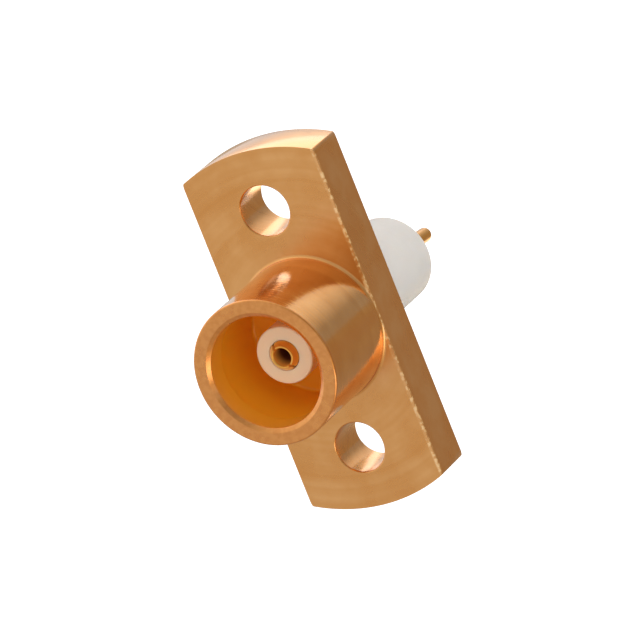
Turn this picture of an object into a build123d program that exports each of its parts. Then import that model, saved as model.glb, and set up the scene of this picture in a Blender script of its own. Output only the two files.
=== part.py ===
from build123d import *
import os
from math import radians

# A coaxial panel jack: a turned and milled body with a two-hole flange, a stepped insulator
# pressed in from the rear, and a socket contact whose other end is a solder post.
# Millimetres. Y is the connector axis and the mouth faces -Y. Z runs along the flange.
# The origin is the centre of the flange's rear face, which goes against the panel.

# Flange, cut from a disc by two flats
flange_length = 12.70
flange_width = 5.06
flange_thickness = 1.72
flange_corner_radius = 0.18
flange_edge_break = 0.04
hole_pitch = 8.51
hole_diameter = 1.75
hole_edge_break = 0.05

# Barrel, turned in one with the flange
barrel_diameter = 5.04
barrel_height = 3.84
barrel_base_fillet = 0.10
mouth_outer_break = 0.05

# Cavity that takes the plug
bore_diameter = 3.86
lead_in_width = 0.15
lead_in_depth = 0.09
front_land_length = 0.83
cavity_diameter = 4.20

# Rear of the body, where the insulator is pressed in
web_thickness = 0.75
seat_depth = 1.12

# Insulator
nose_diameter = 1.98
nose_recess = 1.56
nose_edge_radius = 0.05
stub_diameter = 3.06
stub_length = 4.75
stub_edge_radius = 0.06
tail_wall = 1.10

# Contact
socket_outer_diameter = 1.02
socket_bore_diameter = 0.62
socket_depth = 2.60
socket_lead_in = 0.03
tip_stand_out = 0.18
tip_taper_length = 0.17
tip_taper_depth = 0.13
slot_width = 0.10
slot_length = 1.90
slot_angle = 117.0
finger_clearance = 0.02
finger_length = 2.10
barb_length = 0.50
barb_depth = 0.09
barb_setback = 1.40
post_diameter = 0.50
post_length = 3.00
post_straight = 0.30
post_bend_radius = 6.00
post_bend_angle = 4.5
post_tip_radius = 0.18

# Places along the axis
front_face_y = -flange_thickness
mouth_y = front_face_y - barrel_height
land_start_y = mouth_y + lead_in_depth
land_end_y = land_start_y + front_land_length
seat_y = -seat_depth
cavity_floor_y = seat_y - web_thickness
nose_y = mouth_y + nose_recess
tip_y = nose_y - tip_stand_out
shoulder_y = stub_length - tail_wall
barb_end_y = shoulder_y - barb_setback
barb_start_y = barb_end_y - barb_length

# Radii
flange_radius = flange_length / 2
barrel_radius = barrel_diameter / 2
bore_radius = bore_diameter / 2
cavity_radius = cavity_diameter / 2
nose_radius = nose_diameter / 2
stub_radius = stub_diameter / 2
socket_radius = socket_outer_diameter / 2
socket_bore_radius = socket_bore_diameter / 2
finger_bore_radius = socket_radius + finger_clearance
barb_radius = socket_radius + barb_depth
post_radius = post_diameter / 2

# The barrel stands on a concave fillet, and the flange's flats cut through that fillet
with BuildPart() as barrel:
    with BuildSketch(Plane.XY):
        with BuildLine():
            foot = Polyline(
                (0, front_face_y + flange_edge_break),
                (
                    barrel_radius + barrel_base_fillet + flange_edge_break,
                    front_face_y + flange_edge_break,
                ),
                (barrel_radius + barrel_base_fillet, front_face_y),
            )
            base_arc = RadiusArc(
                foot @ 1,
                (barrel_radius, front_face_y - barrel_base_fillet),
                barrel_base_fillet,
            )
            Polyline(
                base_arc @ 1,
                (barrel_radius, mouth_y + mouth_outer_break),
                (barrel_radius - mouth_outer_break, mouth_y),
                (0, mouth_y),
                foot @ 0,
            )
        make_face()
    revolve(axis=Axis.Y)
    with BuildSketch(Plane.XZ):
        Rectangle(flange_width, flange_length)
    extrude(amount=-mouth_y, mode=Mode.INTERSECT)

# Body: the flange plate with its corners and outer edges broken, and the barrel on it
with BuildPart() as body:
    with BuildSketch(Plane.XZ) as flange_outline:
        Circle(flange_radius)
        Rectangle(flange_width, flange_length, mode=Mode.INTERSECT)
        fillet(flange_outline.vertices(), radius=flange_corner_radius)
    extrude(amount=flange_thickness)
    plate_faces = body.faces().filter_by(Axis.Y)
    chamfer(plate_faces.edges(), length=flange_edge_break)
    add(barrel.part)

    # Two screw holes, broken at both rims
    with BuildSketch(Plane.XZ):
        with GridLocations(0, hole_pitch, 1, 2):
            Circle(hole_diameter / 2)
    extrude(amount=flange_thickness, mode=Mode.SUBTRACT)
    hole_rims = body.edges().filter_by(GeomType.CIRCLE).filter_by(
        lambda e: abs(e.radius - hole_diameter / 2) < 1e-6 and abs(e.arc_center.Z) > hole_pitch / 4
    )
    chamfer(hole_rims, length=hole_edge_break)

    # Bored from the front: lead-in, land, and the wider cavity that the plug's ring springs out in
    with BuildSketch(Plane.XY):
        with BuildLine():
            Polyline(
                (0, mouth_y),
                (bore_radius + lead_in_width, mouth_y),
                (bore_radius, land_start_y),
                (bore_radius, land_end_y),
                (cavity_radius, land_end_y),
                (cavity_radius, cavity_floor_y),
                (nose_radius, cavity_floor_y),
                (nose_radius, seat_y),
                (stub_radius, seat_y),
                (stub_radius, 0),
                (0, 0),
                close=True,
            )
        make_face()
    revolve(axis=Axis.Y, mode=Mode.SUBTRACT)

body.part.label = "body"

# Insulator: the nose passes through the web, the thick stub fills the seat and stands out behind
with BuildPart() as insulator:
    with BuildSketch(Plane.XY) as insulator_section:
        with BuildLine():
            Polyline(
                (finger_bore_radius, nose_y),
                (nose_radius, nose_y),
                (nose_radius, seat_y),
                (stub_radius, seat_y),
                (stub_radius, stub_length),
                (post_radius, stub_length),
                (post_radius, shoulder_y),
                (socket_radius, shoulder_y),
                (socket_radius, barb_end_y),
                (barb_radius, barb_end_y),
                (socket_radius, barb_start_y),
                (socket_radius, nose_y + finger_length),
                (finger_bore_radius, nose_y + finger_length),
                close=True,
            )
        make_face()
        nose_corner = insulator_section.vertices().group_by(Axis.Y)[0].sort_by(Axis.X)[-1]
        fillet(nose_corner, radius=nose_edge_radius)
        stub_corner = insulator_section.vertices().group_by(Axis.Y)[-1].sort_by(Axis.X)[-1]
        fillet(stub_corner, radius=stub_edge_radius)
    revolve(axis=Axis.Y)

insulator.part.label = "insulator"

# Contact: slotted socket in front, a barb that holds it in the insulator, a solder post behind
with BuildPart() as contact:
    with BuildSketch(Plane.XY):
        with BuildLine():
            Polyline(
                (0, tip_y + socket_depth),
                (socket_bore_radius, tip_y + socket_depth),
                (socket_bore_radius, tip_y + socket_lead_in),
                (socket_bore_radius + socket_lead_in, tip_y),
                (socket_radius - tip_taper_depth, tip_y),
                (socket_radius, tip_y + tip_taper_length),
                (socket_radius, barb_start_y),
                (barb_radius, barb_end_y),
                (socket_radius, barb_end_y),
                (socket_radius, shoulder_y),
                (0, shoulder_y),
                close=True,
            )
        make_face()
    revolve(axis=Axis.Y)
    with BuildSketch(Plane.XZ.offset(-tip_y - slot_length)):
        Rectangle(socket_outer_diameter, slot_width, rotation=slot_angle)
    extrude(amount=slot_length, mode=Mode.SUBTRACT)

    # The post leaves the insulator straight and then leans a little towards -Z
    with BuildLine(Plane.YZ) as post_line:
        run_in = Line((shoulder_y, 0), (stub_length + post_straight, 0))
        bend = JernArc(run_in @ 1, run_in % 1, post_bend_radius, -post_bend_angle)
        bend_length = radians(post_bend_angle) * post_bend_radius
        run_out = post_length - post_straight - bend_length
        Line(bend @ 1, bend @ 1 + run_out * (bend % 1))
    with BuildSketch(Plane.XZ.offset(-shoulder_y)):
        Circle(post_radius)
    sweep(path=post_line.line)
    post_end = contact.faces().sort_by(Axis.Y)[-1]
    fillet(post_end.edges(), radius=post_tip_radius)

contact.part.label = "contact"

os.makedirs("parts", exist_ok=True)
export_step(body.part, "parts/body.step")
export_step(insulator.part, "parts/insulator.step")
export_step(contact.part, "parts/contact.step")
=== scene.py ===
import math
import random

import bmesh
import bpy
from mathutils import Matrix, Vector, noise


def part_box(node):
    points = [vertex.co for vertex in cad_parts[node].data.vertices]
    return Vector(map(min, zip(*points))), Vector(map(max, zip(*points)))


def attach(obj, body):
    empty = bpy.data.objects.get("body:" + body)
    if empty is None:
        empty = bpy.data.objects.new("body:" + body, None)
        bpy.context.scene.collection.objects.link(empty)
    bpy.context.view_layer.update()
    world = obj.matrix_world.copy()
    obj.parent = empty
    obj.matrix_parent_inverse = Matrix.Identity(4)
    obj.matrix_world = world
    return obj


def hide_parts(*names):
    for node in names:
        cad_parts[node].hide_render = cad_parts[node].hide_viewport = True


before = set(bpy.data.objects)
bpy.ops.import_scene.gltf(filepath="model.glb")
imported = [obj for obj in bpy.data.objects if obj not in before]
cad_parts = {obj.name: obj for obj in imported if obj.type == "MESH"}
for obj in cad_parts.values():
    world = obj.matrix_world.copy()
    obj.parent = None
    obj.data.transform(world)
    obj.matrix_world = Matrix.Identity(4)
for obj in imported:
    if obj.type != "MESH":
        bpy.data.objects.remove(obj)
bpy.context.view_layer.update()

# Body
# One piece of brass turned from round bar: a disc with a barrel standing on a small fillet. Two
# flats are milled off the disc, which leaves a narrow flange with curved ends, and two screw holes
# are drilled. The barrel is bored from the front, and all of it is gold plated.

# Meshes are made in millimetres and scaled to metres when they are finished
MILLIMETRE = 0.001

body_low, body_high = (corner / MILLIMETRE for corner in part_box("body"))
flange_radius = body_high.z
flange_half_width = body_high.x
flange_thickness = 1.72
flange_corner_radius = 0.18
flange_edge_round = 0.05
rear_face_y = body_high.y
front_face_y = rear_face_y - flange_thickness
mouth_y = body_low.y

barrel_radius = 2.52
base_fillet_radius = 0.10
foot_radius = barrel_radius + base_fillet_radius
foot_depth = 0.30
mouth_outer_round = 0.06
lead_in_width = 0.15
lead_in_depth = 0.09
lead_in_round = 0.04
bore_radius = 1.93
land_length = 0.83
land_end_y = mouth_y + lead_in_depth + land_length
land_round = 0.03
cavity_radius = 2.10
cavity_floor_y = -1.87
cavity_corner_round = 0.12
nose_hole_radius = 0.99
seat_y = -1.12
seat_radius = 1.53

screw_hole_radius = 1.75 / 2
screw_hole_pitch = 8.51

ROUND_STEPS = 192


def rounded_profile(corners, steps=5):
    """Profile points (radius, y), with an arc where a corner gives a round as its third number."""
    points = []
    for index, corner in enumerate(corners):
        here = Vector(corner[:2])
        if len(corner) == 2:
            points.append(here)
            continue
        to_last = (Vector(corners[index - 1][:2]) - here).normalized()
        to_next = (Vector(corners[(index + 1) % len(corners)][:2]) - here).normalized()
        half_angle = to_last.angle(to_next) / 2
        centre = here + (to_last + to_next).normalized() * corner[2] / math.sin(half_angle)
        tangent_length = corner[2] / math.tan(half_angle)
        start = (here + to_last * tangent_length - centre).normalized()
        end = (here + to_next * tangent_length - centre).normalized()
        for step in range(steps + 1):
            points.append(centre + corner[2] * start.slerp(end, step / steps))
    return points


def turn_profile(bm, points, closed=False):
    """Turns a profile about the connector axis, as on a lathe."""
    verts = [bm.verts.new((radius, y, 0)) for radius, y in points]
    edges = [bm.edges.new(pair) for pair in zip(verts, verts[1:])]
    if closed:
        edges.append(bm.edges.new((verts[-1], verts[0])))
    bmesh.ops.spin(
        bm, geom=verts + edges, cent=(0, 0, 0), axis=(0, 1, 0),
        angle=math.tau, steps=ROUND_STEPS, use_merge=True,
    )
    bmesh.ops.remove_doubles(bm, verts=bm.verts, dist=1e-4)
    bmesh.ops.dissolve_degenerate(bm, dist=1e-5, edges=bm.edges)
    bmesh.ops.recalc_face_normals(bm, faces=bm.faces)


def mill_flats(bm, half_width):
    """Cuts both sides off at the flange's width, and gives the edges round the cuts."""
    cut_edges = []
    for side in (1, -1):
        cut = bmesh.ops.bisect_plane(
            bm, geom=bm.verts[:] + bm.edges[:] + bm.faces[:],
            plane_co=(side * half_width, 0, 0), plane_no=(side, 0, 0), clear_outer=True,
        )
        cut_edges += [item for item in cut["geom_cut"] if isinstance(item, bmesh.types.BMEdge)]
    return cut_edges


def object_from(bm, name):
    """Makes a scene object of a finished bmesh."""
    mesh = bpy.data.meshes.new(name)
    bm.to_mesh(mesh)
    bm.free()
    piece = bpy.data.objects.new(name, mesh)
    bpy.context.scene.collection.objects.link(piece)
    return piece


def keep_modified_mesh(piece):
    """Puts what the modifiers make in the piece's own mesh."""
    graph = bpy.context.evaluated_depsgraph_get()
    made = bpy.data.meshes.new_from_object(piece.evaluated_get(graph))
    piece.modifiers.clear()
    piece.data = made


def combine(piece, tool, operation):
    """Joins a tool to a piece or cuts it away, and removes the tool."""
    cut = piece.modifiers.new("combine", "BOOLEAN")
    cut.operation = operation
    cut.solver = "EXACT"
    cut.object = tool
    keep_modified_mesh(piece)
    bpy.data.objects.remove(tool)


def finish_mesh(piece, smooth_angle=35):
    """Scales to metres and shades smooth, with the faced and milled planes kept flat."""
    piece.data.transform(Matrix.Scale(MILLIMETRE, 4))
    piece.data.shade_smooth()
    piece.data.set_sharp_from_angle(angle=math.radians(smooth_angle))
    bm = bmesh.new()
    bm.from_mesh(piece.data)
    for face in bm.faces:
        if max(abs(face.normal.x), abs(face.normal.y)) > 0.99999:
            face.smooth = False
            for edge in face.edges:
                edge.smooth = False
    bm.to_mesh(piece.data)
    bm.free()
    weighted = piece.modifiers.new("flat faces", "WEIGHTED_NORMAL")
    weighted.keep_sharp = True
    weighted.weight = 90
    keep_modified_mesh(piece)


# The flange plate, with its long edges divided finely, because milling left one of them ragged
long_edge_cuts = 220
plate = bmesh.new()
bmesh.ops.create_circle(plate, cap_ends=True, radius=flange_radius, segments=360)
mill_flats(plate, flange_half_width)
corners = [v for v in plate.verts if abs(abs(v.co.x) - flange_half_width) < 1e-4]
bmesh.ops.bevel(
    plate, geom=corners, offset=flange_corner_radius, offset_type="OFFSET",
    segments=6, profile=0.5, affect="VERTICES", material=-1,
)
long_edges = [e for e in plate.edges if e.calc_length() > flange_radius]
bmesh.ops.subdivide_edges(plate, edges=long_edges, cuts=long_edge_cuts)
bmesh.ops.rotate(plate, verts=plate.verts, matrix=Matrix.Rotation(math.radians(90), 3, "X"))
bmesh.ops.translate(plate, verts=plate.verts, vec=(0, rear_face_y, 0))
grown = bmesh.ops.extrude_face_region(plate, geom=plate.faces[:])
front_verts = [item for item in grown["geom"] if isinstance(item, bmesh.types.BMVert)]
bmesh.ops.translate(plate, verts=front_verts, vec=(0, -flange_thickness, 0))
bmesh.ops.recalc_face_normals(plate, faces=plate.faces)
rims = [e for e in plate.edges if abs(e.verts[0].co.y - e.verts[1].co.y) < 1e-6]
bmesh.ops.bevel(
    plate, geom=rims, offset=flange_edge_round, segments=3, profile=0.5,
    affect="EDGES", clamp_overlap=True, material=-1,
)

# The right-hand front edge is ragged: tiny nicks and burrs that come and go in clumps
burr_depth = 0.020
burr_clumps_per_mm = 1.3
burr_between_clumps = 0.15
burr_in_clumps = 2.5
burr_half_length = 0.9 * flange_radius
burr_chance = random.Random(5)
for vert in sorted(plate.verts, key=lambda v: (v.co.z, v.co.x, v.co.y)):
    on_front_rim = 1e-3 < vert.co.y - front_face_y < flange_edge_round
    on_right_edge = 1e-3 < flange_half_width - vert.co.x < flange_edge_round
    if on_front_rim and on_right_edge and abs(vert.co.z) < burr_half_length:
        clump = noise.noise(Vector((vert.co.x, 0.4, vert.co.z * burr_clumps_per_mm)))
        raggedness = burr_depth * max(burr_between_clumps, burr_in_clumps * clump)
        vert.co.x -= raggedness * burr_chance.uniform(0, 1)
        vert.co.y += raggedness * burr_chance.uniform(0, 1)
body = object_from(plate, "body_shell")

# The barrel with its bore, rooted a little inside the plate, its fillet cut by the same flats
barrel = bmesh.new()
turn_profile(barrel, rounded_profile([
    (0, front_face_y + foot_depth),
    (foot_radius, front_face_y + foot_depth),
    (foot_radius, front_face_y),
    (barrel_radius, front_face_y, base_fillet_radius),
    (barrel_radius, mouth_y, mouth_outer_round),
    (bore_radius + lead_in_width, mouth_y, lead_in_round),
    (bore_radius, mouth_y + lead_in_depth, lead_in_round),
    (bore_radius, land_end_y, land_round),
    (cavity_radius, land_end_y, land_round),
    (cavity_radius, cavity_floor_y, cavity_corner_round),
    (0, cavity_floor_y),
], steps=7))
bmesh.ops.holes_fill(barrel, edges=mill_flats(barrel, flange_half_width), sides=0)
bmesh.ops.recalc_face_normals(barrel, faces=barrel.faces)
combine(body, object_from(barrel, "barrel_blank"), "UNION")

# The stepped hole that the insulator is pressed into, and the screw holes. Each cutter flares at
# the plate's faces, which breaks the holes' rims.
rim_round = 0.05
flare_angle = math.radians(20)
flare_depth = 0.3 * rim_round
flare_height = 0.05
flare_reach = (flare_height + flare_depth) / math.tan(flare_angle)
cutter_overrun = 0.5

seat = bmesh.new()
turn_profile(seat, rounded_profile([
    (0, cavity_floor_y - cutter_overrun),
    (nose_hole_radius, cavity_floor_y - cutter_overrun),
    (nose_hole_radius, seat_y),
    (seat_radius, seat_y),
    (seat_radius, rear_face_y - flare_depth, rim_round),
    (seat_radius + flare_reach, rear_face_y + flare_height),
    (0, rear_face_y + flare_height),
]))
combine(body, object_from(seat, "seat_cutter"), "DIFFERENCE")

for side in (1, -1):
    drill = bmesh.new()
    turn_profile(drill, rounded_profile([
        (0, front_face_y - flare_height),
        (screw_hole_radius + flare_reach, front_face_y - flare_height),
        (screw_hole_radius, front_face_y + flare_depth, rim_round),
        (screw_hole_radius, rear_face_y - flare_depth, rim_round),
        (screw_hole_radius + flare_reach, rear_face_y + flare_height),
        (0, rear_face_y + flare_height),
    ]))
    bmesh.ops.translate(drill, verts=drill.verts, vec=(0, 0, side * screw_hole_pitch / 2))
    combine(body, object_from(drill, "drill"), "DIFFERENCE")
finish_mesh(body)
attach(body, "root")
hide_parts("body")


def shader_group(name, inputs, outputs):
    """An empty node group with named number inputs and outputs, and its input and output nodes."""
    group = bpy.data.node_groups.new(name, "ShaderNodeTree")
    for socket_name, value in inputs.items():
        socket = group.interface.new_socket(
            socket_name, in_out="INPUT", socket_type="NodeSocketFloat",
        )
        socket.default_value = value
    for socket_name in outputs:
        group.interface.new_socket(
            socket_name, in_out="OUTPUT", socket_type="NodeSocketFloat",
        )
    return group, group.nodes.new("NodeGroupInput"), group.nodes.new("NodeGroupOutput")


def calculate(tree, operation, *values):
    """A math node on numbers or sockets, which gives its output socket."""
    node = tree.nodes.new("ShaderNodeMath")
    node.operation = operation
    for socket, value in zip(node.inputs, values):
        if isinstance(value, (int, float)):
            socket.default_value = value
        else:
            tree.links.new(value, socket)
    return node.outputs[0]


# Turning marks: fine uneven grooves round the connector axis, on faces and cylinders alike. The
# group also gives the place on the lathe, in millimetres, for what differs along a turned piece.
turning, turning_in, turning_out = shader_group(
    "turning_marks", {"Grooves per mm": 6.0, "Unevenness": 0.5},
    ["Height", "Bands", "Radius", "Along"],
)
object_place = turning.nodes.new("ShaderNodeTexCoord")
place_parts = turning.nodes.new("ShaderNodeSeparateXYZ")
turning.links.new(object_place.outputs["Object"], place_parts.inputs[0])
squared = calculate(
    turning, "ADD",
    calculate(turning, "MULTIPLY", place_parts.outputs["X"], place_parts.outputs["X"]),
    calculate(turning, "MULTIPLY", place_parts.outputs["Z"], place_parts.outputs["Z"]),
)
radius_mm = calculate(turning, "MULTIPLY", calculate(turning, "SQRT", squared), 1 / MILLIMETRE)
along_mm = calculate(turning, "MULTIPLY", place_parts.outputs["Y"], 1 / MILLIMETRE)
tool_path_mm = calculate(turning, "ADD", radius_mm, along_mm)
turning.links.new(radius_mm, turning_out.inputs["Radius"])
turning.links.new(along_mm, turning_out.inputs["Along"])
grooves = turning.nodes.new("ShaderNodeTexNoise")
grooves.noise_dimensions = "1D"
grooves.inputs["Scale"].default_value = 1
grooves.inputs["Detail"].default_value = 1
turning.links.new(
    calculate(turning, "MULTIPLY", tool_path_mm, turning_in.outputs["Grooves per mm"]),
    grooves.inputs["W"],
)
turning.links.new(turning_in.outputs["Unevenness"], grooves.inputs["Roughness"])
turning.links.new(grooves.outputs["Fac"], turning_out.inputs["Height"])
bands = turning.nodes.new("ShaderNodeTexNoise")
bands.noise_dimensions = "1D"
bands.inputs["Scale"].default_value = 1.6
bands.inputs["Detail"].default_value = 2
turning.links.new(tool_path_mm, bands.inputs["W"])
turning.links.new(bands.outputs["Fac"], turning_out.inputs["Bands"])

# Mottling: soft clouds and fine grain, as plating over a tumbled surface has
mottle, mottle_in, mottle_out = shader_group(
    "mottling", {"Clouds per mm": 1.0, "Grains per mm": 14.0}, ["Clouds", "Grain"],
)
mottle_place = mottle.nodes.new("ShaderNodeTexCoord")
for output_name, density_name, detail in (
    ("Clouds", "Clouds per mm", 3),
    ("Grain", "Grains per mm", 1),
):
    cloud = mottle.nodes.new("ShaderNodeTexNoise")
    cloud.inputs["Detail"].default_value = detail
    mottle.links.new(mottle_place.outputs["Object"], cloud.inputs["Vector"])
    mottle.links.new(
        calculate(mottle, "MULTIPLY", mottle_in.outputs[density_name], 1 / MILLIMETRE),
        cloud.inputs["Scale"],
    )
    mottle.links.new(cloud.outputs["Fac"], mottle_out.inputs[output_name])


def between(tree, factor, low, high):
    """Maps a 0 to 1 factor to a range of numbers."""
    spread = tree.nodes.new("ShaderNodeMapRange")
    spread.inputs["To Min"].default_value = low
    spread.inputs["To Max"].default_value = high
    tree.links.new(factor, spread.inputs["Value"])
    return spread.outputs["Result"]


def ramp(tree, value, start, end):
    """A mask that grows from 0 at the start value to 1 at the end value."""
    climb = tree.nodes.new("ShaderNodeMapRange")
    climb.inputs["From Min"].default_value = start
    climb.inputs["From Max"].default_value = end
    tree.links.new(value, climb.inputs["Value"])
    return climb.outputs["Result"]


def overlap(tree, *masks):
    """The product of several masks."""
    product = masks[0]
    for mask in masks[1:]:
        product = calculate(tree, "MULTIPLY", product, mask)
    return product


def blend_colours(tree, factor, first, second):
    """Mixes two colours, given as triples or sockets."""
    mix = tree.nodes.new("ShaderNodeMix")
    mix.data_type = "RGBA"
    tree.links.new(factor, mix.inputs["Factor"])
    for socket, colour in ((mix.inputs["A"], first), (mix.inputs["B"], second)):
        if isinstance(colour, tuple):
            socket.default_value = (*colour, 1)
        else:
            tree.links.new(colour, socket)
    return mix.outputs["Result"]


def bumped(tree, height, depth, last_normal=None):
    """A bump of a real depth in millimetres, on top of an earlier one if given."""
    bump = tree.nodes.new("ShaderNodeBump")
    bump.inputs["Strength"].default_value = 1
    bump.inputs["Distance"].default_value = depth * MILLIMETRE
    tree.links.new(height, bump.inputs["Height"])
    if last_normal is not None:
        tree.links.new(last_normal, bump.inputs["Normal"])
    return bump.outputs["Normal"]


def place_group(tree, group, **values):
    """Puts a node group in a material with its own values."""
    node = tree.nodes.new("ShaderNodeGroup")
    node.node_tree = group
    for socket, value in zip(node.inputs, values.values()):
        socket.default_value = value
    return node


def new_material(name):
    """A material with its node tree and its shader."""
    material = bpy.data.materials.new(name)
    material.use_nodes = True
    return material, material.node_tree, material.node_tree.nodes["Principled BSDF"]


gold, gold_tree, gold_shader = new_material("gold_plate")
gold_marks = place_group(gold_tree, turning, grooves_per_mm=3.6, unevenness=0.55)
barrel_marks = place_group(gold_tree, turning, grooves_per_mm=9.0, unevenness=0.6)
gold_mottle = place_group(gold_tree, mottle, clouds_per_mm=0.9, grains_per_mm=6.0)
radius, along = gold_marks.outputs["Radius"], gold_marks.outputs["Along"]
turned_red, turned_pale = (0.83, 0.325, 0.028), (1.0, 0.49, 0.125)
side_red, side_pale = (0.89, 0.365, 0.055), (0.94, 0.47, 0.16)
mouth_red, mouth_pale = (0.845, 0.290, 0.020), (0.925, 0.350, 0.040)
# The bore's two colours are painted bounce light from the gold round it
bore_front, bore_deep_painted_bounce = (0.78, 0.30, 0.012), (1.0, 0.49, 0.010)
# The pale burr colour is a painted glint
painted_glint_pale = (1.0, 0.62, 0.26)

# The barrel is turned finer than the faces, and the boring tool left the bore rough
fillet_end_y = front_face_y - base_fillet_radius
on_barrel = overlap(
    gold_tree,
    ramp(gold_tree, radius, barrel_radius - 0.07, barrel_radius - 0.02),
    ramp(gold_tree, along, fillet_end_y, fillet_end_y - 0.15),
    ramp(gold_tree, along, mouth_y + 0.03, mouth_y + 0.08),
)
in_cavity = overlap(
    gold_tree,
    ramp(gold_tree, radius, cavity_radius + 0.10, cavity_radius + 0.05),
    ramp(gold_tree, along, cavity_floor_y + 0.50, cavity_floor_y + 0.40),
    ramp(gold_tree, along, mouth_y + lead_in_depth - 0.01, mouth_y + lead_in_depth + 0.03),
)

# Rings and a haze of clouds make the turned faces uneven, in colour and in gloss
haze = ramp(gold_tree, gold_mottle.outputs["Clouds"], 0.36, 0.64)
wide_rings = ramp(gold_tree, gold_marks.outputs["Bands"], 0.3, 0.7)
fine_rings = overlap(gold_tree, haze, ramp(gold_tree, gold_marks.outputs["Height"], 0.3, 0.7))
unevenness = calculate(gold_tree, "MULTIPLY", haze, 0.35)
unevenness = calculate(gold_tree, "MULTIPLY_ADD", wide_rings, 0.35, unevenness)
unevenness = calculate(gold_tree, "MULTIPLY_ADD", fine_rings, 0.30, unevenness)
turned_tint = blend_colours(gold_tree, unevenness, turned_red, turned_pale)

# The milled sides are blotchy, and darker along their long edges
across = gold_tree.nodes.new("ShaderNodeSeparateXYZ")
body_place = gold_tree.nodes.new("ShaderNodeTexCoord")
gold_tree.links.new(body_place.outputs["Object"], across.inputs[0])
on_side = ramp(
    gold_tree, calculate(gold_tree, "ABSOLUTE", across.outputs["X"]),
    (flange_half_width - 0.03) * MILLIMETRE, (flange_half_width - 0.01) * MILLIMETRE,
)
side_middle = overlap(
    gold_tree,
    ramp(gold_tree, along, front_face_y + 0.10, front_face_y + 0.40),
    ramp(gold_tree, along, rear_face_y - 0.05, rear_face_y - 0.35),
)
blotches = overlap(gold_tree, haze, between(gold_tree, side_middle, 0.3, 1))
side_tint = blend_colours(gold_tree, blotches, side_red, side_pale)
outer_tint = blend_colours(gold_tree, on_side, turned_tint, side_tint)

# The mouth's ring is grainy. The bore's colour is painted bounce light: saturated, and brighter
# deeper in
mouth_face = overlap(
    gold_tree,
    ramp(gold_tree, along, mouth_y + 0.11, mouth_y + 0.09),
    ramp(gold_tree, radius, barrel_radius + 0.02, barrel_radius),
)
mouth_tint = blend_colours(
    gold_tree, ramp(gold_tree, gold_mottle.outputs["Grain"], 0.35, 0.65), mouth_red, mouth_pale,
)
outer_tint = blend_colours(gold_tree, mouth_face, outer_tint, mouth_tint)
bore_painted_bounce_tint = blend_colours(
    gold_tree, ramp(gold_tree, along, mouth_y + 0.1, mouth_y + 1.4), bore_front, bore_deep_painted_bounce,
)
clean_tint = blend_colours(gold_tree, in_cavity, outer_tint, bore_painted_bounce_tint)

# Milling tore tiny burrs out of the right-hand front edge. Pale, less metallic speckles over them
# are painted glints, which shine whatever light falls on them
speckle = gold_tree.nodes.new("ShaderNodeTexNoise")
speckle.inputs["Scale"].default_value = 6.0 / MILLIMETRE
speckle.inputs["Detail"].default_value = 1
gold_tree.links.new(body_place.outputs["Object"], speckle.inputs["Vector"])
burr_glints = overlap(
    gold_tree,
    ramp(gold_tree, across.outputs["X"], (flange_half_width - 0.12) * MILLIMETRE,
         (flange_half_width - 0.07) * MILLIMETRE),
    ramp(gold_tree, along, front_face_y + 0.09, front_face_y + 0.06),
    ramp(gold_tree, along, front_face_y - 0.03, front_face_y - 0.01),
    between(gold_tree, ramp(gold_tree, speckle.outputs["Fac"], 0.47, 0.60), 0.2, 1),
)
gold_tint = blend_colours(gold_tree, burr_glints, clean_tint, painted_glint_pale)
gold_tree.links.new(gold_tint, gold_shader.inputs["Base Color"])

# The rough bore mirrors less than the outside, and the fine-turned barrel mirrors more
metallic = calculate(gold_tree, "MULTIPLY_ADD", in_cavity, -0.7, between(gold_tree, burr_glints, 1, 0.4))
gold_tree.links.new(metallic, gold_shader.inputs["Metallic"])
roughness = between(gold_tree, unevenness, 0.25, 0.35)
roughness = calculate(gold_tree, "MULTIPLY_ADD", on_barrel, -0.13, roughness)
roughness = calculate(gold_tree, "MULTIPLY_ADD", in_cavity, 0.42, roughness)
gold_tree.links.new(roughness, gold_shader.inputs["Roughness"])
gold_tree.links.new(between(gold_tree, in_cavity, 1, 0.35), gold_shader.inputs["Coat Weight"])
gold_shader.inputs["Coat Roughness"].default_value = 0.15
gold_shader.inputs["Coat IOR"].default_value = 1.8

grain_depth, face_groove_depth, barrel_groove_depth = 0.001, 0.001, 0.006
gold_grain = bumped(gold_tree, gold_mottle.outputs["Grain"], grain_depth)
gold_faced = bumped(gold_tree, gold_marks.outputs["Height"], face_groove_depth, gold_grain)
barrel_grooves = calculate(gold_tree, "MULTIPLY", barrel_marks.outputs["Height"], on_barrel)
gold_grooved = bumped(gold_tree, barrel_grooves, barrel_groove_depth, gold_faced)
gold_tree.links.new(gold_grooved, gold_shader.inputs["Normal"])
body.data.materials.append(gold)

# Insulator
# One turned piece of white fluoropolymer: a slim nose inside the barrel and a thick stub behind the
# flange, pressed in from the rear.
insulator_low, insulator_high = (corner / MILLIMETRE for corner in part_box("insulator"))
stub_radius = insulator_high.x
stub_end_y = insulator_high.y
nose_y = insulator_low.y
nose_radius = nose_hole_radius
nose_round = 0.06
stub_round = 0.07
finger_bore_radius = 0.53
finger_bore_round = 0.02
socket_radius = 0.51
finger_room_end_y = nose_y + 2.10
shoulder_y = stub_end_y - 1.10
post_radius = 0.25

white_stub = bmesh.new()
turn_profile(white_stub, rounded_profile([
    (finger_bore_radius, nose_y, finger_bore_round),
    (nose_radius, nose_y, nose_round),
    (nose_radius, seat_y),
    (stub_radius, seat_y),
    (stub_radius, stub_end_y, stub_round),
    (post_radius, stub_end_y),
    (post_radius, shoulder_y),
    (socket_radius, shoulder_y),
    (socket_radius, finger_room_end_y),
    (finger_bore_radius, finger_room_end_y),
]), closed=True)
insulator = object_from(white_stub, "insulator_turned")
finish_mesh(insulator)
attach(insulator, "root")
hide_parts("insulator")

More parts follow.
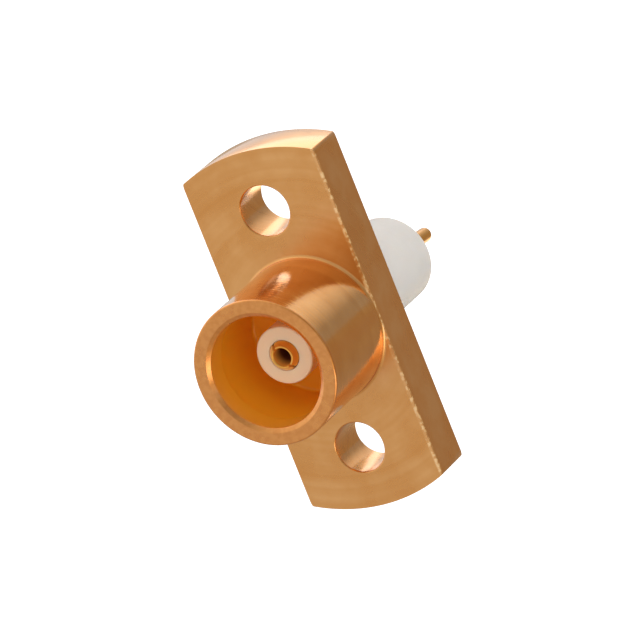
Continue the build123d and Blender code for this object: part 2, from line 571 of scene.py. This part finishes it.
white, white_tree, white_shader = new_material("white_insulator")
white_marks = place_group(white_tree, turning, grooves_per_mm=5.0, unevenness=0.6)
white_mottle = place_group(white_tree, mottle, clouds_per_mm=1.2, grains_per_mm=9.0)
white_dull, white_clean = (0.70, 0.665, 0.62), (0.76, 0.725, 0.68)
white_painted_gold_bounce = (0.92, 0.67, 0.44)
white_tint = blend_colours(
    white_tree, between(white_tree, white_mottle.outputs["Clouds"], -0.2, 1.2),
    white_dull, white_clean,
)
# Inside the barrel the white turns warm cream: painted bounce light from the gold bore round the
# nose
painted_bounce_zone = ramp(white_tree, white_marks.outputs["Along"], -0.9, -1.8)
white_tint = blend_colours(white_tree, painted_bounce_zone, white_tint, white_painted_gold_bounce)
white_tree.links.new(white_tint, white_shader.inputs["Base Color"])
white_roughness = between(white_tree, white_mottle.outputs["Grain"], 0.38, 0.55)
white_tree.links.new(white_roughness, white_shader.inputs["Roughness"])
white_shader.inputs["IOR"].default_value = 1.36
white_shader.inputs["Subsurface Weight"].default_value = 0.6
white_shader.inputs["Subsurface Radius"].default_value = (1.0, 0.8, 0.6)
white_shader.inputs["Subsurface Scale"].default_value = 0.35 * MILLIMETRE
white_grooved = bumped(white_tree, white_marks.outputs["Height"], 0.004)
white_tree.links.new(white_grooved, white_shader.inputs["Normal"])
insulator.data.materials.append(white)

# Contact
# One turned piece of gold-plated copper alloy: a slotted socket in the nose, a barb that bites into
# the insulator, and a thin solder post that leans a little where it comes out behind.
contact_low, contact_high = (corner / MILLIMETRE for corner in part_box("contact"))
tip_y = contact_low.y
socket_bore_radius = 0.31
socket_depth = 2.60
socket_lead_in = 0.03
tip_radius = 0.38
taper_length = 0.17
taper_end_y = tip_y + taper_length
barb_radius = contact_high.x
barb_length = 0.50
barb_end_y = shoulder_y - 1.40
barb_start_y = barb_end_y - barb_length
slot_width = 0.10
slot_length = 1.90
slot_angle = math.radians(117)
post_length = 3.00
post_straight = 0.30
post_bend_y = stub_end_y + post_straight
post_bend_radius = 6.00
post_bend_angle = math.radians(4.5)
post_run_out = post_length - post_straight - post_bend_angle * post_bend_radius
post_tip_round = 0.18

pin = bmesh.new()
turn_profile(pin, rounded_profile([
    (0, tip_y + socket_depth),
    (socket_bore_radius, tip_y + socket_depth),
    (socket_bore_radius, tip_y + socket_lead_in),
    (socket_bore_radius + socket_lead_in, tip_y, 0.015),
    (tip_radius, tip_y, 0.02),
    (socket_radius, taper_end_y, 0.04),
    (socket_radius, barb_start_y),
    (barb_radius, barb_end_y),
    (socket_radius, barb_end_y),
    (socket_radius, shoulder_y),
    (post_radius, shoulder_y),
]))

# The post grows from the ring left open at the shoulder: straight, round the bend, straight again
ring = [e for e in pin.edges if e.is_boundary]
post_start = bmesh.ops.extrude_edge_only(pin, edges=ring)
ring_verts = [item for item in post_start["geom"] if isinstance(item, bmesh.types.BMVert)]
bmesh.ops.translate(pin, verts=ring_verts, vec=(0, post_bend_y - shoulder_y, 0))
ring = [
    item for item in post_start["geom"]
    if isinstance(item, bmesh.types.BMEdge) and item.is_boundary
]
bent = bmesh.ops.spin(
    pin, geom=ring_verts + ring, cent=(0, post_bend_y, -post_bend_radius), axis=(1, 0, 0),
    angle=-post_bend_angle, steps=6,
)
ring = [item for item in bent["geom_last"] if isinstance(item, bmesh.types.BMEdge)]
post_end = bmesh.ops.extrude_edge_only(pin, edges=ring)
end_verts = [item for item in post_end["geom"] if isinstance(item, bmesh.types.BMVert)]
lean = Vector((0, math.cos(post_bend_angle), -math.sin(post_bend_angle)))
bmesh.ops.translate(pin, verts=end_verts, vec=lean * post_run_out)
end_ring = [
    item for item in post_end["geom"]
    if isinstance(item, bmesh.types.BMEdge) and item.is_boundary
]
bmesh.ops.holes_fill(pin, edges=end_ring, sides=0)
bmesh.ops.bevel(
    pin, geom=end_ring, offset=post_tip_round, segments=7, profile=0.5,
    affect="EDGES", clamp_overlap=True, material=-1,
)
bmesh.ops.recalc_face_normals(pin, faces=pin.faces)
contact = object_from(pin, "contact_turned")

saw = bmesh.new()
bmesh.ops.create_cube(saw, size=1)
bmesh.ops.scale(saw, verts=saw.verts, vec=(2.5 * socket_radius, 2 * slot_length, slot_width))
bmesh.ops.rotate(saw, verts=saw.verts, matrix=Matrix.Rotation(-slot_angle, 3, "Y"))
bmesh.ops.translate(saw, verts=saw.verts, vec=(0, tip_y, 0))
combine(contact, object_from(saw, "slitting_saw"), "DIFFERENCE")
finish_mesh(contact)
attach(contact, "root")
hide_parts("contact")

bright_gold, bright_tree, bright_shader = new_material("gold_contact")
bright_marks = place_group(bright_tree, turning, grooves_per_mm=12.0, unevenness=0.5)
bright_mottle = place_group(bright_tree, mottle, clouds_per_mm=2.0, grains_per_mm=20.0)
contact_along = bright_marks.outputs["Along"]
contact_yellow, contact_pale = (0.95, 0.50, 0.07), (0.98, 0.56, 0.11)
post_brown = (0.80, 0.36, 0.05)
socket_painted_lit, socket_painted_shade = (1.0, 0.46, 0.07), (0.20, 0.035, 0.003)
bright_tint = blend_colours(
    bright_tree, between(bright_tree, bright_mottle.outputs["Clouds"], -0.2, 1.2),
    contact_yellow, contact_pale,
)
bright_tint = blend_colours(
    bright_tree, ramp(bright_tree, contact_along, shoulder_y, stub_end_y), bright_tint, post_brown,
)

# The socket's inside is what lies deeper than the tapered skin; it is rough, and its colour goes
# from painted light at its mouth to painted shade at its bottom
taper_slope = (socket_radius - tip_radius) / taper_length
skin_radius = calculate(
    bright_tree, "MINIMUM", socket_radius,
    calculate(
        bright_tree, "MULTIPLY_ADD", contact_along, taper_slope, tip_radius - taper_slope * tip_y,
    ),
)
below_skin = calculate(bright_tree, "SUBTRACT", skin_radius, bright_marks.outputs["Radius"])
in_socket = overlap(
    bright_tree,
    ramp(bright_tree, below_skin, 0.01, 0.03),
    ramp(bright_tree, contact_along, tip_y + 0.03, tip_y + 0.05),
    ramp(bright_tree, contact_along, 1.0, 0.9),
)
socket_tint = blend_colours(
    bright_tree, ramp(bright_tree, contact_along, tip_y + 0.12, tip_y + 0.60),
    socket_painted_lit, socket_painted_shade,
)
bright_tint = blend_colours(bright_tree, in_socket, bright_tint, socket_tint)
bright_tree.links.new(bright_tint, bright_shader.inputs["Base Color"])
bright_tree.links.new(between(bright_tree, in_socket, 0.85, 0.1), bright_shader.inputs["Metallic"])
banded_roughness = between(bright_tree, bright_marks.outputs["Bands"], 0.22, 0.34)
bright_tree.links.new(
    calculate(bright_tree, "MULTIPLY_ADD", in_socket, 0.35, banded_roughness),
    bright_shader.inputs["Roughness"],
)
bright_shader.inputs["Coat Weight"].default_value = 0.6
bright_shader.inputs["Coat Roughness"].default_value = 0.25
bright_grooved = bumped(bright_tree, bright_marks.outputs["Height"], 0.002)
bright_tree.links.new(bright_grooved, bright_shader.inputs["Normal"])
contact.data.materials.append(bright_gold)

# Floor, backdrop and light
# A plain pale floor well below the jack, a white surround, and a soft lamp above and behind it.
# Places here are in metres.
floor_z = -0.030
floor_glow = 0.6
floor_mesh = bmesh.new()
bmesh.ops.create_grid(floor_mesh, x_segments=1, y_segments=1, size=3)
bmesh.ops.translate(floor_mesh, verts=floor_mesh.verts, vec=(0, 0, floor_z))
floor = object_from(floor_mesh, "floor")
pale, pale_tree, pale_shader = new_material("pale_floor")
floor.data.materials.append(pale)
pale_shader.inputs["Base Color"].default_value = (0.80, 0.80, 0.80, 1)
pale_shader.inputs["Roughness"].default_value = 0.9
pale_shader.inputs["Emission Color"].default_value = (1, 1, 1, 1)
floor_seen = pale_tree.nodes.new("ShaderNodeLightPath")
pale_tree.links.new(
    calculate(pale_tree, "MULTIPLY", floor_seen.outputs["Is Camera Ray"], floor_glow),
    pale_shader.inputs["Emission Strength"],
)

# Metal and glass mirror it as a table with painted light: painted shade, tinted warm, behind the
# jack, with a bright painted pool of light close by at the right and a smaller one behind
lit_table, shaded_table = 0.64, 0.31
lit_colour, shaded_colour = (1.0, 1.0, 1.0), (1.14, 0.90, 0.58)
floor_place = pale_tree.nodes.new("ShaderNodeTexCoord")


def light_pool(x, y, narrowness, reach):
    """A mask for an oval of light on the floor, in metres, longer along Y by the narrowness."""
    narrowed = pale_tree.nodes.new("ShaderNodeVectorMath")
    narrowed.operation = "MULTIPLY"
    narrowed.inputs[1].default_value = (narrowness, 1, 1)
    pale_tree.links.new(floor_place.outputs["Object"], narrowed.inputs[0])
    distance = pale_tree.nodes.new("ShaderNodeVectorMath")
    distance.operation = "DISTANCE"
    distance.inputs[1].default_value = (x * narrowness, y, floor_z)
    pale_tree.links.new(narrowed.outputs["Vector"], distance.inputs[0])
    return ramp(pale_tree, distance.outputs["Value"], reach, 0.5 * reach)


floor_depth = pale_tree.nodes.new("ShaderNodeVectorMath")
floor_depth.operation = "DOT_PRODUCT"
floor_depth.inputs[1].default_value = (0.35, 0.94, 0)
pale_tree.links.new(floor_place.outputs["Object"], floor_depth.inputs[0])
towards_shade = ramp(pale_tree, floor_depth.outputs["Value"], -0.10, 0.04)
table_level = between(pale_tree, towards_shade, lit_table, shaded_table)
for pool, brightness in (
    (light_pool(0.030, -0.045, 2.2, 0.045), 1.60),
    (light_pool(-0.011, 0.064, 1.0, 0.016), 2.20),
):
    table_level = calculate(pale_tree, "MULTIPLY_ADD", pool, brightness, table_level)
floor_mirror = pale_tree.nodes.new("ShaderNodeEmission")
pale_tree.links.new(table_level, floor_mirror.inputs["Strength"])
table_colour = blend_colours(pale_tree, towards_shade, lit_colour, shaded_colour)
pale_tree.links.new(table_colour, floor_mirror.inputs["Color"])
floor_mirrored = calculate(
    pale_tree, "ADD",
    floor_seen.outputs["Is Glossy Ray"], floor_seen.outputs["Is Transmission Ray"],
)
floor_choice = pale_tree.nodes.new("ShaderNodeMixShader")
pale_tree.links.new(floor_mirrored, floor_choice.inputs["Fac"])
pale_tree.links.new(pale_shader.outputs[0], floor_choice.inputs[1])
pale_tree.links.new(floor_mirror.outputs[0], floor_choice.inputs[2])
pale_tree.links.new(floor_choice.outputs[0], pale_tree.nodes["Material Output"].inputs["Surface"])

# The surround is white to the camera. Metal mirrors it dimmer towards the right, where a real
# studio has no lamp, and brighter overhead and high on the wall behind.
right_level, left_level, left_narrowness = 0.34, 0.98, 1.35
overhead_gain = 1.6
wall_gain = 0.52
diffuse_level, diffuse_front_gain = 0.68, 0.95
world = bpy.data.worlds.new("studio")
bpy.context.scene.world = world
world.use_nodes = True
world_tree = world.node_tree
surround = world_tree.nodes["Background"]
surround.inputs["Color"].default_value = (1, 1, 1, 1)
seen = world_tree.nodes.new("ShaderNodeLightPath")
looking = world_tree.nodes.new("ShaderNodeTexCoord")


def towards(x, y):
    """How far a direction points towards a level one, 1 where they are the same."""
    dot = world_tree.nodes.new("ShaderNodeVectorMath")
    dot.operation = "DOT_PRODUCT"
    dot.inputs[1].default_value = (x, y, 0)
    world_tree.links.new(looking.outputs["Generated"], dot.inputs[0])
    return dot.outputs["Value"]


to_left = calculate(
    world_tree, "POWER", ramp(world_tree, towards(-1, 0), -0.5, 1.0), left_narrowness,
)
around = between(world_tree, to_left, right_level, left_level)
height = world_tree.nodes.new("ShaderNodeSeparateXYZ")
world_tree.links.new(looking.outputs["Generated"], height.inputs[0])
overhead = between(
    world_tree, ramp(world_tree, height.outputs["Z"], 0.55, 0.90), 1.0, overhead_gain,
)
bright_wall = overlap(
    world_tree,
    ramp(world_tree, towards(0.38, 0.92), 0.60, 0.80),
    ramp(world_tree, height.outputs["Z"], 0.18, 0.50),
)
studio_level = calculate(
    world_tree, "MULTIPLY_ADD", bright_wall, wall_gain, overlap(world_tree, around, overhead),
)
diffuse_front = ramp(world_tree, towards(0.7, -0.7), 0, 1)
mirrored = calculate(
    world_tree, "ADD", seen.outputs["Is Glossy Ray"], seen.outputs["Is Transmission Ray"],
)
unseen_level = world_tree.nodes.new("ShaderNodeMix")
world_tree.links.new(mirrored, unseen_level.inputs["Factor"])
world_tree.links.new(
    calculate(world_tree, "MULTIPLY_ADD", diffuse_front, diffuse_front_gain, diffuse_level),
    unseen_level.inputs["A"],
)
world_tree.links.new(studio_level, unseen_level.inputs["B"])
world_level = world_tree.nodes.new("ShaderNodeMix")
world_tree.links.new(seen.outputs["Is Camera Ray"], world_level.inputs["Factor"])
world_tree.links.new(unseen_level.outputs["Result"], world_level.inputs["A"])
world_level.inputs["B"].default_value = 1.0
world_tree.links.new(world_level.outputs["Result"], surround.inputs["Strength"])


def soft_lamp(name, place, width, height, watts):
    """A rectangular area lamp that faces the jack."""
    light = bpy.data.lights.new(name, "AREA")
    light.shape = "RECTANGLE"
    light.size = width
    light.size_y = height
    light.energy = watts
    lamp = bpy.data.objects.new(name, light)
    lamp.location = place
    lamp.rotation_mode = "QUATERNION"
    lamp.rotation_quaternion = (-Vector(place)).to_track_quat("-Z", "Y")
    bpy.context.scene.collection.objects.link(lamp)


soft_lamp("overhead_behind", (-0.215, 0.42, 0.36), width=0.55, height=0.28, watts=0.54)

# Camera
# It stands in front of the jack at its right, a little above it, and is rolled to one side, so the
# flange's long way leans as in the photograph.
azimuth = math.radians(30.40)
elevation = math.radians(12.58)
roll = math.radians(-21.85)
distance = 0.20777
aside = -0.00044
upward = -0.000301
focal_length = 355.66
back = Vector((
    math.sin(azimuth) * math.cos(elevation),
    -math.cos(azimuth) * math.cos(elevation),
    math.sin(elevation),
))
level_right = Vector((math.cos(azimuth), math.sin(azimuth), 0))
level_up = back.cross(level_right)
right = math.cos(roll) * level_right + math.sin(roll) * level_up
up = back.cross(right)
camera_data = bpy.data.cameras.new("camera")
camera_data.sensor_width = 36
camera_data.lens = focal_length
camera_data.clip_start = 0.01
camera_data.clip_end = 20
camera = bpy.data.objects.new("camera", camera_data)
camera.location = distance * back + aside * right + upward * up
camera.rotation_mode = "QUATERNION"
camera.rotation_quaternion = Matrix((right, up, back)).transposed().to_quaternion()
bpy.context.scene.collection.objects.link(camera)
bpy.context.scene.camera = camera

bpy.context.scene.view_settings.view_transform = "Standard"
